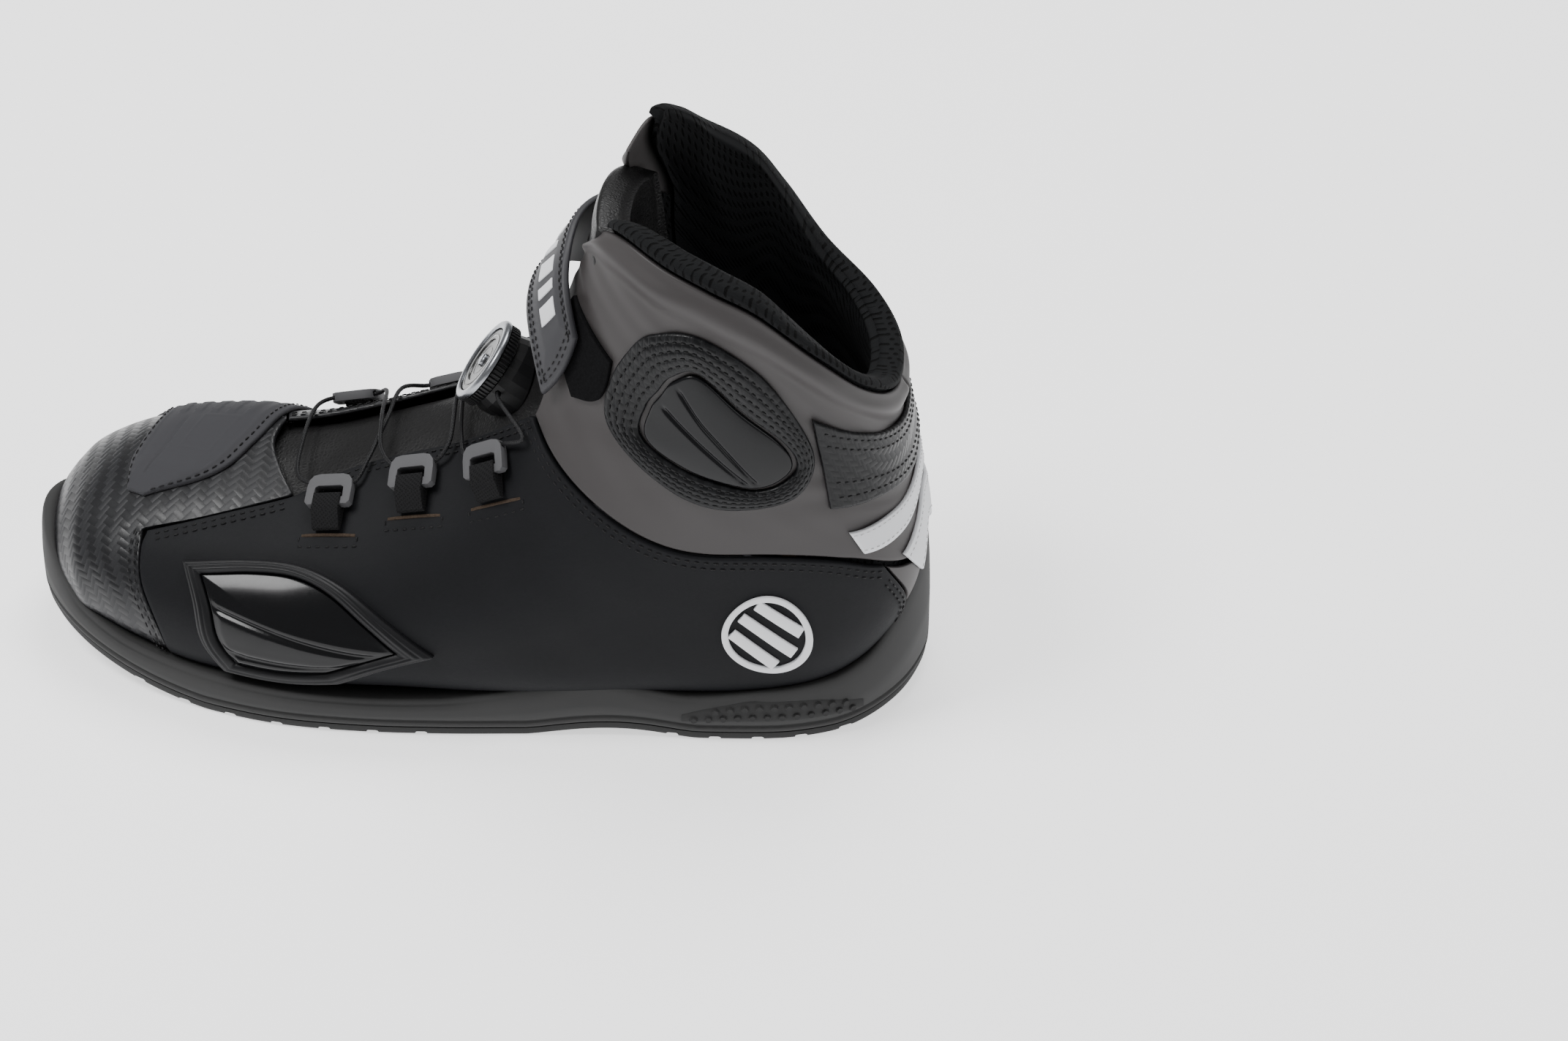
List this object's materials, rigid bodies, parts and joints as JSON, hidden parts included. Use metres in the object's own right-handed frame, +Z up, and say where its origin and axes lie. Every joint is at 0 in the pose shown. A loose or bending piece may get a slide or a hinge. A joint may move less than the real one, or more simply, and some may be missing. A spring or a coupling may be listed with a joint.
{
  "type": "short motorcycle riding boot",
  "caption": "Left short riding boot with a rubber cup sole, a dial that winds in a lace, an ankle strap with a ring, an ankle shield and a toe slider.",
  "frame": {"origin": "on the ground under the middle of the boot, where the flat tread stands", "axes": "-X towards the toe, +X towards the heel, -Y the outer side of the foot, +Y the inner side, +Z up"},
  "size_m": [0.2986, 0.1184, 0.1928],
  "materials": {
    "tread_rubber": "matte moulded tread",
    "sole_rubber": "matte, fine grain",
    "insert_rubber": "matte with small round studs",
    "midsole_foam": "dull foam rubber",
    "cork_filler": "dull cork",
    "steel_shank": "plain spring steel",
    "fibre_board": "dull fibre board",
    "footbed_foam": "fabric over foam",
    "vamp_leather": "embossed weave, semi gloss",
    "smooth_nubuck": "matte",
    "soft_leather": "soft, satin sheen",
    "stiffener": "dull sheet",
    "lining_mesh": "mesh with rows of small holes",
    "lining_cloth": "woven cloth",
    "carbon_look": "embossed weave, semi gloss",
    "gloss_shield": "smoked, glossy",
    "slider_plastic": "matte",
    "pad_rubber": "matte with raised rim and ribs",
    "reflective_film": "silver white, retroreflective",
    "dial_plastic": "knurled, matte",
    "dial_gloss": "glossy black",
    "polished_metal": "polished",
    "lace_cord": "dark braided cord",
    "guide_plastic": "satin charcoal",
    "webbing": "woven tape",
    "strap_leather": "matte, stitched border",
    "hook_and_loop": "fuzzy",
    "ring_metal": "satin wire"
  },
  "bodies": {
    "boot": {"outsole": "tread_rubber", "sole_cup": "sole_rubber", "midsole": "midsole_foam", "grip_panel_outer": "insert_rubber", "grip_panel_inner": "insert_rubber", "bottom_filler": "cork_filler", "shank": "steel_shank", "insole_board": "fibre_board", "footbed": "footbed_foam", "vamp": "vamp_leather", "quarter_outer": "smooth_nubuck", "quarter_inner": "vamp_leather", "backstay": "soft_leather", "shaft_outer": "soft_leather", "shaft_inner": "soft_leather", "toe_puff": "stiffener", "heel_counter": "stiffener", "lining_vamp": "lining_cloth", "lining_outer": "lining_cloth", "lining_inner": "lining_cloth", "collar_lining": "lining_mesh", "flap_lining_outer": "lining_mesh", "flap_lining_inner": "lining_mesh", "tongue": "soft_leather", "ankle_ring": "carbon_look", "ankle_shield": "gloss_shield", "heel_band": "carbon_look", "reflective_band_upper": "reflective_film", "reflective_band_lower": "reflective_film", "reflective_badge": "reflective_film", "toe_slider_frame": "slider_plastic", "toe_slider_blade": "gloss_shield", "shift_pad": "pad_rubber", "dial_base": "dial_plastic", "lace": "lace_cord", "ring_tab": "webbing", "loop_pad": "hook_and_loop", "guide_outer_front": "guide_plastic", "guide_tab_outer_front": "webbing", "guide_outer_middle": "guide_plastic", "guide_tab_outer_middle": "webbing", "guide_outer_top": "guide_plastic", "guide_tab_outer_top": "webbing", "guide_inner_front": "guide_plastic", "guide_tab_inner_front": "webbing", "guide_inner_middle": "guide_plastic", "guide_tab_inner_middle": "webbing", "guide_inner_top": "guide_plastic", "guide_tab_inner_top": "webbing"},
    "dial": {"dial_knob": "dial_plastic", "dial_rim": "polished_metal", "dial_cap": "dial_gloss", "dial_screw": "polished_metal", "dial_spool": "dial_plastic"},
    "ring": {"strap_ring": "ring_metal"},
    "strap": {"strap": "strap_leather", "hook_pad": "hook_and_loop", "strap_reflector": "reflective_film"}
  },
  "joints": [
    {"name": "dial_turn", "type": "hinge", "parent": "boot", "child": "dial", "pos_m": [-0.001, 0, 0.112], "axis": [-0.809, 0, 0.5878], "continuous": true},
    {"name": "ring_swing", "type": "hinge", "parent": "boot", "child": "ring", "pos_m": [0.07048, 0.05154, 0.11474], "axis": [-0.0084, -0.1099, -0.9939], "range_deg": [0, 60]},
    {"name": "strap_open", "type": "hinge", "parent": "ring", "child": "strap", "pos_m": [0.06222, 0.05304, 0.12115], "axis": [0.0576, -0.0676, -0.996], "range_deg": [0, 100]}
  ]
}
